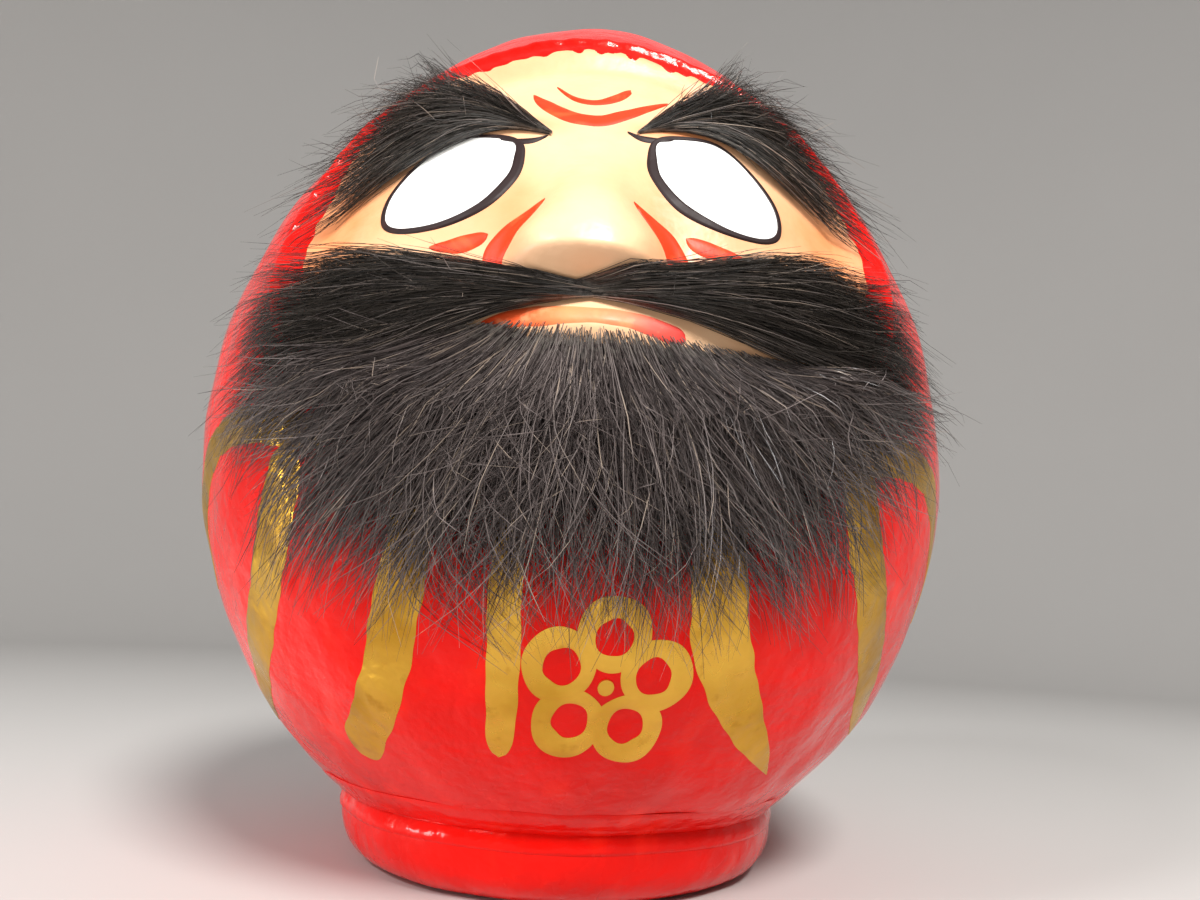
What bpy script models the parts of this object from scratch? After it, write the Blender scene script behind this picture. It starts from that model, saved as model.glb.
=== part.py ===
"""Hairy papier-mache daruma doll, standing on the floor at z = 0 and facing -Y.

Lengths are in metres and angles in degrees. A place on the doll's skin is given by its azimuth,
counted from the front towards +X, and its height above the floor.
"""
import math

import bmesh
import bpy
from mathutils import Vector

# Driving dimensions of the body
BELLY_RADIUS = 0.100
BELLY_HEIGHT = 0.1055
TOTAL_HEIGHT = 0.235
LOWER_DEPTH = 0.108          # half-height of the ellipse that the body follows below its belly
NECK_HEIGHT = 0.017          # the crease where the paper body meets the clay base
WALL = 0.0025
GAP = 0.0003

UPPER_RISE = TOTAL_HEIGHT - BELLY_HEIGHT
# This taper keeps the outline's curvature the same on both sides of the belly line.
SHOULDER_TAPER = ((UPPER_RISE / LOWER_DEPTH) ** 2 - 1) / 2

# The slit in the back, through which the doll is taken off its mould, and the paper over it
SLIT_WIDTH = 0.0008
SLIT_TOP_LATITUDE = 62.0
SEAM_STRIP_WIDTH = 0.014
SEAM_STRIP_TOP_LATITUDE = 66.0
PAPER = 0.0006

# The clay base and the paper band around its joint with the body
BASE_RADIUS = 0.0575
FOOT_RADIUS = 0.0465
BASE_WIDEST_HEIGHT = 0.0115
BASE_LIP_RADIUS = 0.0558
BASE_CAVITY_RADIUS = 0.040
BASE_CAVITY_SLOPE = 0.006
BASE_FLOOR_HEIGHT = 0.0095
BAND_RISE = 0.0045           # how far the band reaches up the body above the crease

# The face, sunk into the hood
FACE_HALF_ANGLE = 42.0
FACE_HEIGHT = 0.1508
FACE_HALF_HEIGHT = 0.0468
FACE_ROUNDNESS = 2.3
FACE_DEPTH = 0.0035
FACE_EDGE = 0.07
NOSE_TOP = 0.168
NOSE_TIP = 0.134
NOSE_FOOT = 0.1265
NOSE_PROJECTION = 0.0090
NOSE_BRIDGE_HALF_WIDTH = 0.0050
NOSE_BASE_HALF_WIDTH = 0.0105

# The face's other swellings: rise, azimuth, height, half-angle and half-height of each
FACE_SWELLINGS = {
    "eye": (0.0020, 18.5, 0.1520, 9.0, 0.0110),
    "brow_ridge": (0.0020, 22.0, 0.1720, 16.0, 0.0070),
    "cheek": (0.0022, 28.0, 0.1330, 10.0, 0.0100),
    "upper_lip": (0.0022, 0.0, 0.1190, 13.0, 0.0045),
    "chin": (0.0020, 0.0, 0.1080, 14.0, 0.0060),
}

# Hair, glued on in flat fans
HAIR_GAP = 0.0006
HAIR_EDGE_THICKNESS = 0.0015
HAIR_FULLNESS = 0.6          # below 1 makes a fan's cross-section flatter on top
HAIR_REACH = 0.005           # hair bridges hollows of the face that are narrower than twice this

RED = (0.62, 0.012, 0.010)
PAPER_RED = (0.55, 0.015, 0.012)
CLAY_RED = (0.58, 0.014, 0.011)
HAIR_BLACK = (0.020, 0.016, 0.014)
HAIR_BROWN = (0.030, 0.020, 0.016)


def skin_radius(height):
    """Radius of the round body, without the face, at a height above the floor."""
    if height < BELLY_HEIGHT:
        fall = (BELLY_HEIGHT - height) / LOWER_DEPTH
        return BELLY_RADIUS * math.sqrt(1 - fall * fall)
    rise = min((height - BELLY_HEIGHT) / UPPER_RISE, 1.0)
    return BELLY_RADIUS * math.sqrt(1 - rise * rise) * (1 - SHOULDER_TAPER * rise * rise)


def latitude_height(latitude):
    """Height of a latitude: 0 is the belly line, 90 the crown, and the neck is below 0."""
    reach = UPPER_RISE if latitude > 0 else LOWER_DEPTH
    return BELLY_HEIGHT + reach * math.sin(math.radians(latitude))


def height_latitude(height):
    """Latitude of a height below the belly line."""
    return math.degrees(math.asin((height - BELLY_HEIGHT) / LOWER_DEPTH))


def swelling_relief(azimuth, height, swelling):
    """A round swelling, the same on both sides of the face."""
    rise, centre_azimuth, centre_height, half_angle, half_height = swelling
    across = (abs(azimuth) - centre_azimuth) / half_angle
    along = (height - centre_height) / half_height
    return rise * math.exp(-across * across - along * along)


def smooth_step(value):
    """Ease from 0 to 1 as value goes from 0 to 1."""
    value = min(max(value, 0.0), 1.0)
    return value * value * (3 - 2 * value)


def nose_relief(azimuth, height):
    """The nose: a narrow bridge that grows downwards into a broad rounded tip."""
    across = math.radians(azimuth) * skin_radius(height)
    if height > NOSE_TIP:
        along = smooth_step((NOSE_TOP - height) / (NOSE_TOP - NOSE_TIP))
    else:
        along = smooth_step((height - NOSE_FOOT) / (NOSE_TIP - NOSE_FOOT))
    drop = min(max((NOSE_TOP - height) / (NOSE_TOP - NOSE_TIP), 0.0), 1.0)
    half_width = NOSE_BRIDGE_HALF_WIDTH + (NOSE_BASE_HALF_WIDTH - NOSE_BRIDGE_HALF_WIDTH) * drop
    return NOSE_PROJECTION * along * math.exp(-((across / half_width) ** 2))


def face_relief(azimuth, height):
    """How far the skin stands out of the round body, measured along the skin's normal."""
    across = abs(azimuth) / FACE_HALF_ANGLE
    along = abs(height - FACE_HEIGHT) / FACE_HALF_HEIGHT
    outwards = (across ** FACE_ROUNDNESS + along ** FACE_ROUNDNESS) ** (1 / FACE_ROUNDNESS)
    inside = smooth_step((1 + FACE_EDGE - outwards) / (2 * FACE_EDGE))
    if inside == 0:
        return 0.0
    relief = nose_relief(azimuth, height) - FACE_DEPTH
    relief += sum(swelling_relief(azimuth, height, swelling) for swelling in FACE_SWELLINGS.values())
    return relief * inside


def skin_point(azimuth, height, offset=0.0):
    """Point at an offset from the round body, measured along the body's normal."""
    step = 0.00005
    above = min(height + step, TOTAL_HEIGHT)
    below = above - 2 * step
    slope = (skin_radius(above) - skin_radius(below)) / (above - below)
    normal_length = math.hypot(1.0, slope)
    radius = skin_radius(height) + offset / normal_length
    angle = math.radians(azimuth)
    return Vector((radius * math.sin(angle), -radius * math.cos(angle),
                   height - offset * slope / normal_length))


def bridged_relief(azimuth, height):
    """The highest skin near a place, which hair lying across it rests on."""
    angle_reach = math.degrees(HAIR_REACH / skin_radius(height))
    return max(
        face_relief(azimuth + across * angle_reach, height + along * HAIR_REACH)
        for across in (-1, -0.5, 0, 0.5, 1)
        for along in (-1, -0.5, 0, 0.5, 1)
    )


def clear_scene():
    for old in list(bpy.data.objects):
        bpy.data.objects.remove(old, do_unlink=True)


def make_material(name, colour, roughness):
    material = bpy.data.materials.new(name)
    material.use_nodes = True
    shader = material.node_tree.nodes["Principled BSDF"]
    shader.inputs["Base Color"].default_value = (*colour, 1.0)
    shader.inputs["Roughness"].default_value = roughness
    shader.inputs["Metallic"].default_value = 0.0
    return material


def add_object(name, mesh, colour, roughness):
    """Turn a bmesh into a smooth-shaded object with its own material."""
    bmesh.ops.recalc_face_normals(mesh, faces=mesh.faces)
    data = bpy.data.meshes.new(name)
    mesh.to_mesh(data)
    mesh.free()
    data.shade_smooth()
    data.set_sharp_from_angle(angle=math.radians(40))
    data.materials.append(make_material(name, colour, roughness))
    thing = bpy.data.objects.new(name, data)
    bpy.context.scene.collection.objects.link(thing)
    return thing


def spread(start, end, count):
    """Evenly spaced values from start to end, both included."""
    return [start + (end - start) * index / (count - 1) for index in range(count)]


def build_body_shell():
    """The paper body: an open skin with a slit down its back, thickened inwards."""
    below_belly = spread(height_latitude(NECK_HEIGHT), 0, 11)
    beside_face = spread(0, 48, 21)
    crown_rows = spread(48, 84, 7)
    latitudes = below_belly[:-1] + beside_face[:-1] + crown_rows
    slit_rows = sum(latitude <= SLIT_TOP_LATITUDE for latitude in latitudes)
    side = spread(48, 180, 12)
    azimuths = [-angle for angle in reversed(side)] + spread(-48, 48, 25)[1:-1] + side

    mesh = bmesh.new()
    rows = []
    for row_index, latitude in enumerate(latitudes):
        height = latitude_height(latitude)
        row = [
            mesh.verts.new(skin_point(azimuth, height, face_relief(azimuth, height)))
            for azimuth in azimuths[1:-1]
        ]
        half_slit = 0.0
        if row_index < slit_rows:
            half_slit = math.degrees(SLIT_WIDTH / 2 / skin_radius(height))
        right_edge = mesh.verts.new(skin_point(180 - half_slit, height))
        left_edge = right_edge
        if half_slit:
            left_edge = mesh.verts.new(skin_point(half_slit - 180, height))
        rows.append([left_edge, *row, right_edge])
    for lower, upper in zip(rows, rows[1:]):
        for column in range(len(azimuths) - 1):
            mesh.faces.new((lower[column], lower[column + 1], upper[column + 1], upper[column]))
    crown = mesh.verts.new((0, 0, TOTAL_HEIGHT))
    for left, right in zip(rows[-1], rows[-1][1:]):
        mesh.faces.new((left, right, crown))

    shell = add_object("body_shell", mesh, RED, 0.25)
    thickness = shell.modifiers.new("paper_wall", "SOLIDIFY")
    thickness.thickness = WALL
    thickness.offset = -1
    thickness.use_even_offset = True


def add_slab(name, inner, outer, colour, roughness):
    """Add a closed solid between two matching grids of points."""
    mesh = bmesh.new()
    low = [[mesh.verts.new(point) for point in row] for row in inner]
    high = [[mesh.verts.new(point) for point in row] for row in outer]
    last_row = len(low) - 1
    last_column = len(low[0]) - 1
    for row in range(last_row):
        for column in range(last_column):
            for grid in (low, high):
                mesh.faces.new((grid[row][column], grid[row][column + 1],
                                grid[row + 1][column + 1], grid[row + 1][column]))
    for column in range(last_column):
        for row in (0, last_row):
            mesh.faces.new((low[row][column], low[row][column + 1],
                            high[row][column + 1], high[row][column]))
    for row in range(last_row):
        for column in (0, last_column):
            mesh.faces.new((low[row][column], low[row + 1][column],
                            high[row + 1][column], high[row][column]))
    add_object(name, mesh, colour, roughness)


def build_back_seam_strip():
    """The paper strip pasted over the slit, from the neck band nearly to the crown."""
    foot_latitude = height_latitude(NECK_HEIGHT + BAND_RISE + GAP)
    latitudes = spread(foot_latitude, 0, 12)[:-1] + spread(0, SEAM_STRIP_TOP_LATITUDE, 16)
    layers = []
    for offset in (GAP, GAP + PAPER):
        grid = []
        for latitude in latitudes:
            height = latitude_height(latitude)
            half_angle = math.degrees(SEAM_STRIP_WIDTH / 2 / skin_radius(height))
            grid.append([
                skin_point(180 + across * half_angle, height, offset)
                for across in (-1, 0, 1)
            ])
        layers.append(grid)
    add_slab("back_seam_strip", layers[0], layers[1], PAPER_RED, 0.3)


def add_turned(name, profile, colour, roughness, steps=60):
    """Add a solid turned around the Z axis from a closed loop of (radius, height) points."""
    mesh = bmesh.new()
    rings = []
    for radius, height in profile:
        if radius == 0:
            rings.append([mesh.verts.new((0, 0, height))] * steps)
            continue
        rings.append([
            mesh.verts.new((radius * math.sin(angle), -radius * math.cos(angle), height))
            for angle in (2 * math.pi * step / steps for step in range(steps))
        ])
    for ring, next_ring in zip(rings, rings[1:] + rings[:1]):
        for step in range(steps):
            after = (step + 1) % steps
            corners = [ring[step], ring[after], next_ring[after], next_ring[step]]
            corners = list(dict.fromkeys(corners))
            if len(corners) > 2:
                mesh.faces.new(corners)
    add_object(name, mesh, colour, roughness)


def base_shoulder(angle):
    """Point of the base's rounded shoulder: 0 is its widest place and 90 its top."""
    reach = NECK_HEIGHT - GAP - BASE_WIDEST_HEIGHT
    inset = BASE_RADIUS - BASE_LIP_RADIUS
    return (BASE_LIP_RADIUS + inset * math.cos(math.radians(angle)),
            BASE_WIDEST_HEIGHT + reach * math.sin(math.radians(angle)))


def build_clay_base():
    """The clay weight: a shallow dish whose rim carries the paper body."""
    bulge = [
        (FOOT_RADIUS + (BASE_RADIUS - FOOT_RADIUS) * math.sin(math.radians(angle)),
         BASE_WIDEST_HEIGHT * (1 - math.cos(math.radians(angle))))
        for angle in spread(0, 90, 7)
    ]
    shoulder = [base_shoulder(angle) for angle in spread(0, 90, 5)[1:]]
    cavity = [
        (BASE_CAVITY_RADIUS + BASE_CAVITY_SLOPE, NECK_HEIGHT - GAP),
        (BASE_CAVITY_RADIUS, BASE_FLOOR_HEIGHT),
        (0, BASE_FLOOR_HEIGHT),
    ]
    add_turned("clay_base", [(0, 0)] + bulge + shoulder + cavity, CLAY_RED, 0.3)


def build_neck_band():
    """The paper band pasted around the joint, from the base's shoulder onto the body."""
    layers = []
    for offset in (GAP, GAP + PAPER):
        on_base = [
            (BASE_RADIUS + offset + (BASE_LIP_RADIUS - BASE_RADIUS) * rise ** 2,
             BASE_WIDEST_HEIGHT + (NECK_HEIGHT - BASE_WIDEST_HEIGHT) * rise)
            for rise in spread(0.05, 0.75, 3)
        ]
        on_body = []
        for height in spread(NECK_HEIGHT, NECK_HEIGHT + BAND_RISE, 3):
            point = skin_point(0, height, offset)
            on_body.append((-point.y, point.z))
        layers.append(on_base + on_body)
    add_turned("neck_band", layers[0] + layers[1][::-1], PAPER_RED, 0.3)


def fan_edge(root, middle, tip, share):
    """Place, as (azimuth, height), at a share of the way along one edge of a hair fan."""
    weights = ((1 - share) ** 2, 2 * share * (1 - share), share * share)
    return tuple(
        sum(weight * point[axis] for weight, point in zip(weights, (root, middle, tip)))
        for axis in (0, 1)
    )


def build_hair_fan(name, first_edge, second_edge, thickness, colour):
    """A flat closed fan of hair, lying on the skin between two curved edges."""
    lengths = spread(0, 1, 11)
    widths = spread(0, 1, 7)
    inner = []
    outer = []
    for share in lengths:
        start = fan_edge(*first_edge, share)
        end = fan_edge(*second_edge, share)
        margin = HAIR_GAP / (skin_point(*end) - skin_point(*start)).length
        inner_row = []
        outer_row = []
        for width in widths:
            place = margin + (1 - 2 * margin) * width
            azimuth = start[0] + (end[0] - start[0]) * place
            height = start[1] + (end[1] - start[1]) * place
            lift = bridged_relief(azimuth, height) + HAIR_GAP
            lens = math.sin(math.pi * width) * math.sin(math.pi * share)
            inner_row.append(skin_point(azimuth, height, lift))
            depth = HAIR_EDGE_THICKNESS + thickness * lens ** HAIR_FULLNESS
            outer_row.append(skin_point(azimuth, height, lift + depth))
        inner.append(inner_row)
        outer.append(outer_row)
    add_slab(name, inner, outer, colour, 0.6)


def mirrored(edge):
    """The same edge on the other side of the face."""
    return tuple((-azimuth, height) for azimuth, height in edge)


def build_brows_and_moustache():
    """Each edge is its root, the point that bends it and its tip, as (azimuth, height)."""
    brow_top = ((5.5, 0.1690), (18.0, 0.1860), (46.0, 0.1900))
    brow_bottom = ((5.5, 0.1645), (24.0, 0.1680), (48.0, 0.1480))
    moustache_top = ((0.4, 0.1265), (18.0, 0.1360), (56.0, 0.1430))
    moustache_bottom = ((0.4, 0.1215), (20.0, 0.1190), (56.0, 0.1090))
    build_hair_fan("eyebrow_right", brow_top, brow_bottom, 0.006, HAIR_BLACK)
    build_hair_fan("eyebrow_left", mirrored(brow_top), mirrored(brow_bottom), 0.006, HAIR_BLACK)
    build_hair_fan("moustache_right", moustache_top, moustache_bottom, 0.006, HAIR_BLACK)
    build_hair_fan("moustache_left", mirrored(moustache_top), mirrored(moustache_bottom),
                   0.006, HAIR_BLACK)


def build_beard():
    """Five fans side by side, which share the edges between them."""
    right_edges = (
        ((4.5, 0.1150), (11.0, 0.0850), (18.0, 0.0580)),
        ((13.0, 0.1155), (27.0, 0.0950), (42.0, 0.0720)),
        ((21.0, 0.1165), (38.0, 0.1130), (57.0, 0.1050)),
    )
    edges = [mirrored(edge) for edge in reversed(right_edges)] + list(right_edges)
    names = ("beard_far_left", "beard_left", "beard_centre", "beard_right", "beard_far_right")
    for name, first, second in zip(names, edges, edges[1:]):
        build_hair_fan(name, first, second, 0.007, HAIR_BROWN)


clear_scene()
build_body_shell()
build_back_seam_strip()
build_clay_base()
build_neck_band()
build_brows_and_moustache()
build_beard()
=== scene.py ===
"""The looks of the daruma doll: lacquered paper skin, painted face, gold brush strokes and glued hair.

Lengths are in metres and angles in degrees. A place on the doll's skin is given by its azimuth,
counted from the front (-Y) towards +X, and its height above the floor.
"""
import math
from typing import NamedTuple

import bpy
import numpy as np
from mathutils import Matrix, Vector


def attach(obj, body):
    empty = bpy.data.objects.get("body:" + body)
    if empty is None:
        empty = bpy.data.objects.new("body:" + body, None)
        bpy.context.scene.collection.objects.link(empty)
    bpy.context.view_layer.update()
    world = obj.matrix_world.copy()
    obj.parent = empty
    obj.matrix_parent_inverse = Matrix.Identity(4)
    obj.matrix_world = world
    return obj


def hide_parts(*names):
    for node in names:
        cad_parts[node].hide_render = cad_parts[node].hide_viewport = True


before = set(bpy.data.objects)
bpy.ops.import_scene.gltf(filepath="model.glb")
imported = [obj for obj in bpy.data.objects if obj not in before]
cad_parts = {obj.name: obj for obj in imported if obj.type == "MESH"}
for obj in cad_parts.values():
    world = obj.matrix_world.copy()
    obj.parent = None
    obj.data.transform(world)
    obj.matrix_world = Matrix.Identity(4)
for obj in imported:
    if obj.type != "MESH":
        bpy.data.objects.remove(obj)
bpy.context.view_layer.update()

# The body, as the CAD has it
BELLY_RADIUS = 0.100
BELLY_HEIGHT = 0.1055
TOTAL_HEIGHT = 0.235
LOWER_DEPTH = 0.108
NECK_HEIGHT = 0.017
WALL = 0.0025
UPPER_RISE = TOTAL_HEIGHT - BELLY_HEIGHT
SHOULDER_TAPER = ((UPPER_RISE / LOWER_DEPTH) ** 2 - 1) / 2

FACE_HALF_ANGLE = 42.0
FACE_HEIGHT = 0.1508
FACE_HALF_HEIGHT = 0.0468
FACE_ROUNDNESS = 2.3
FACE_DEPTH = 0.0035
FACE_EDGE = 0.07
NOSE_TOP = 0.168
NOSE_TIP = 0.1322
NOSE_FOOT = 0.1264
NOSE_PROJECTION = 0.0090
NOSE_BRIDGE_HALF_WIDTH = 0.0050
NOSE_BASE_HALF_WIDTH = 0.0126

# Swellings of the face: rise, azimuth, height, half-angle and half-height of each
FACE_SWELLINGS = (
    (0.0020, 18.5, 0.1520, 9.0, 0.0110),
    (0.0020, 22.0, 0.1720, 16.0, 0.0070),
    (0.0022, 28.0, 0.1330, 10.0, 0.0100),
    (0.0022, 0.0, 0.1190, 13.0, 0.0045),
    (0.0020, 0.0, 0.1080, 14.0, 0.0060),
    (0.0022, 7.0, 0.1355, 2.4, 0.0048),         # the wings of the nostrils
)

# The hood's rolled lip, at places counted from the middle of the face as face_place does
HOOD_LIP_RISE = 0.0016
HOOD_LIP_PLACE = 1.11
HOOD_LIP_WIDTH = 0.028
HOOD_RIM_START = 1.00
HOOD_RIM_END = 1.23

# Paint lies in thin layers over the red skin
FLESH_LIFT = 0.00012
EYE_LIFT = 0.00026
STROKE_LIFT = 0.00036
OUTLINE_LIFT = 0.00044
GOLD_LIFT = 0.00012
FILM_DEPTH = 0.0004

BASE_RADIUS = 0.0575
FOOT_RADIUS = 0.0465
BASE_WIDEST_HEIGHT = 0.0115
BASE_LIP_RADIUS = 0.0558
BASE_LIP_HEIGHT = 0.0166
BAND_FOOT_HEIGHT = 0.0122
BAND_SHOULDER = 0.0044          # height of the band's part over the dish
BAND_SKIRT = 0.0052             # height of its part on the body
SEAM_HALF_WIDTH = 0.0070
SEAM_TOP_LATITUDE = 66.0


PHASES = (0, 6.28)              # the range that random waves start in


def smooth_step(value):
    value = np.clip(value, 0.0, 1.0)
    return value * value * (3 - 2 * value)


def skin_radius(height):
    """Radius of the round body, without the face, at each height."""
    fall = np.clip((BELLY_HEIGHT - height) / LOWER_DEPTH, 0.0, 1.0)
    rise = np.clip((height - BELLY_HEIGHT) / UPPER_RISE, 0.0, 1.0)
    above = np.sqrt(1 - rise * rise) * (1 - SHOULDER_TAPER * rise * rise)
    return BELLY_RADIUS * np.where(height < BELLY_HEIGHT, np.sqrt(1 - fall * fall), above)


def latitude_height(latitude):
    reach = np.where(latitude > 0, UPPER_RISE, LOWER_DEPTH)
    return BELLY_HEIGHT + reach * np.sin(np.radians(latitude))


def swelling(azimuth, height, shape):
    """A smooth rise, and its mirror image, from (rise, azimuth, height, half-angle, half-height)."""
    rise, centre_azimuth, centre_height, half_angle, half_height = shape
    across = (np.abs(azimuth) - centre_azimuth) / half_angle
    along = (height - centre_height) / half_height
    return rise * np.exp(-across * across - along * along)


def face_place(azimuth, height):
    """0 in the middle of the face, 1 on its outline, and more outside."""
    across = np.abs(azimuth) / FACE_HALF_ANGLE
    along = np.abs(height - FACE_HEIGHT) / FACE_HALF_HEIGHT
    return (across ** FACE_ROUNDNESS + along ** FACE_ROUNDNESS) ** (1 / FACE_ROUNDNESS)


def face_point(angle, place):
    """(azimuth, height) of a place, as face_place counts it, at an angle clockwise from the face's top."""
    across, up = np.sin(angle), np.cos(angle)
    size = np.abs(across) ** FACE_ROUNDNESS + np.abs(up) ** FACE_ROUNDNESS
    reach = place * size ** (-1 / FACE_ROUNDNESS)
    return reach * across * FACE_HALF_ANGLE, FACE_HEIGHT + reach * up * FACE_HALF_HEIGHT


def nose_relief(azimuth, height):
    across = np.radians(azimuth) * skin_radius(height)
    above = smooth_step((NOSE_TOP - height) / (NOSE_TOP - NOSE_TIP))
    below = smooth_step((height - NOSE_FOOT) / (NOSE_TIP - NOSE_FOOT))
    drop = np.clip((NOSE_TOP - height) / (NOSE_TOP - NOSE_TIP), 0.0, 1.0)
    half_width = NOSE_BRIDGE_HALF_WIDTH + (NOSE_BASE_HALF_WIDTH - NOSE_BRIDGE_HALF_WIDTH) * drop
    along = np.where(height > NOSE_TIP, above, below)
    return NOSE_PROJECTION * along * np.exp(-np.abs(across / half_width) ** (2 + 1.2 * drop))


def face_relief(azimuth, height):
    """How far the skin stands out of the round body."""
    place = face_place(azimuth, height)
    inside = smooth_step((1 + FACE_EDGE - place) / (2 * FACE_EDGE))
    relief = nose_relief(azimuth, height) - FACE_DEPTH
    for shape in FACE_SWELLINGS:
        relief = relief + swelling(azimuth, height, shape)
    lip = HOOD_LIP_RISE * np.exp(-((place - HOOD_LIP_PLACE) / HOOD_LIP_WIDTH) ** 2)
    return relief * inside + lip


def make_waves(seed, count, shortest, longest, rise):
    """Random plane waves, as (wave vectors, phases, rises). Longer waves rise higher."""
    rng = np.random.default_rng(seed)
    directions = rng.normal(size=(count, 3))
    directions /= np.linalg.norm(directions, axis=1)[:, None]
    lengths = shortest * (longest / shortest) ** rng.random(count)
    rises = rise * (lengths / longest) ** 0.8 * math.sqrt(2 / count)
    return directions * (2 * math.pi / lengths)[:, None], rng.uniform(0, 2 * math.pi, count), rises


PAPER_WAVES = make_waves(seed=3, count=60, shortest=0.011, longest=0.050, rise=0.00042)


def unevenness(points):
    """Lumps and hollows left by hand-laid paper."""
    vectors, phases, rises = PAPER_WAVES
    return np.sin(points @ vectors.T + phases) @ rises


def skin_points(azimuth, height, lift=0.0, smoothness=0.0):
    """Points on the skin, or at a lift above it. Smoothness 1 leaves out the paper's unevenness."""
    azimuth, height, lift = np.broadcast_arrays(azimuth, height, lift)
    step = 0.00005
    above = np.minimum(height + step, TOTAL_HEIGHT)
    below = above - 2 * step
    slope = (skin_radius(above) - skin_radius(below)) / (above - below)
    normal_length = np.hypot(1.0, slope)
    radius = skin_radius(height)
    angle = np.radians(azimuth)
    directions = np.stack([np.sin(angle), -np.cos(angle), np.zeros_like(angle)], axis=-1)
    base = directions * radius[..., None]
    base[..., 2] += height
    in_face = smooth_step((1.05 - face_place(azimuth, height)) / 0.15)
    rough = unevenness(base) * (1 - 0.65 * in_face) * (1 - smoothness)
    offset = face_relief(azimuth, height) + rough + lift
    points = base + directions * (offset / normal_length)[..., None]
    points[..., 2] -= offset * slope / normal_length
    return points


def grid_quads(rows, columns, start=0, wrap=False):
    """Faces of a grid of vertices. With wrap, its last column joins its first."""
    row = np.arange(rows - 1)[:, None]
    column = np.arange(columns if wrap else columns - 1)[None, :]
    here = start + row * columns + column
    after = start + row * columns + (column + 1) % columns
    return np.stack([here, after, after + columns, here + columns], axis=-1).reshape(-1, 4)


def film_faces(rows, columns, wrap=False):
    """Faces of the closed solid between two grids, the outer one's vertices first."""
    size = rows * columns
    outer = grid_quads(rows, columns, 0, wrap)
    inner = grid_quads(rows, columns, size, wrap)[:, ::-1]
    first = np.arange(columns)
    last = first + (rows - 1) * columns
    rims = [(first[::-1], wrap), (last, wrap)]
    if not wrap:
        rims.append((np.arange(rows) * columns, False))
        rims.append((np.arange(rows)[::-1] * columns + columns - 1, False))
    faces = [outer, inner]
    for rim, closed in rims:
        ahead = np.roll(rim, -1)
        quads = np.stack([ahead, rim, rim + size, ahead + size], axis=-1)
        faces.append(quads if closed else quads[:-1])
    return np.concatenate(faces)


def film_solid(outer, inner, wrap=False):
    """The closed solid between two grids of points, as (points, faces that point out)."""
    points = np.concatenate([outer, inner]).reshape(-1, 3)
    faces = film_faces(*outer.shape[:2], wrap)
    a, b, c, d = points[faces].transpose(1, 0, 2)
    volume = np.sum(a * (np.cross(b, c) + np.cross(c, d)))
    return points, faces if volume > 0 else faces[:, ::-1]


def add_piece(name, points, faces, material, slot, replaces=None, attributes=None):
    """Make a smooth-shaded piece that rides on the doll."""
    mesh = bpy.data.meshes.new(name)
    if isinstance(faces, np.ndarray):
        faces = faces.tolist()
    mesh.from_pydata(points.reshape(-1, 3).tolist(), [], faces)
    for label, values in (attributes or {}).items():
        layer = mesh.attributes.new(label, "FLOAT", "POINT")
        layer.data.foreach_set("value", np.asarray(values, np.float32).ravel())
    mesh.validate()
    mesh.shade_smooth()
    mesh.set_sharp_from_angle(angle=math.radians(60))
    mesh.materials.append(material)
    piece = bpy.data.objects.new(name, mesh)
    bpy.context.scene.collection.objects.link(piece)
    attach(piece, "root")
    if replaces:
        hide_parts(replaces)
    return piece


# Materials


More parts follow.
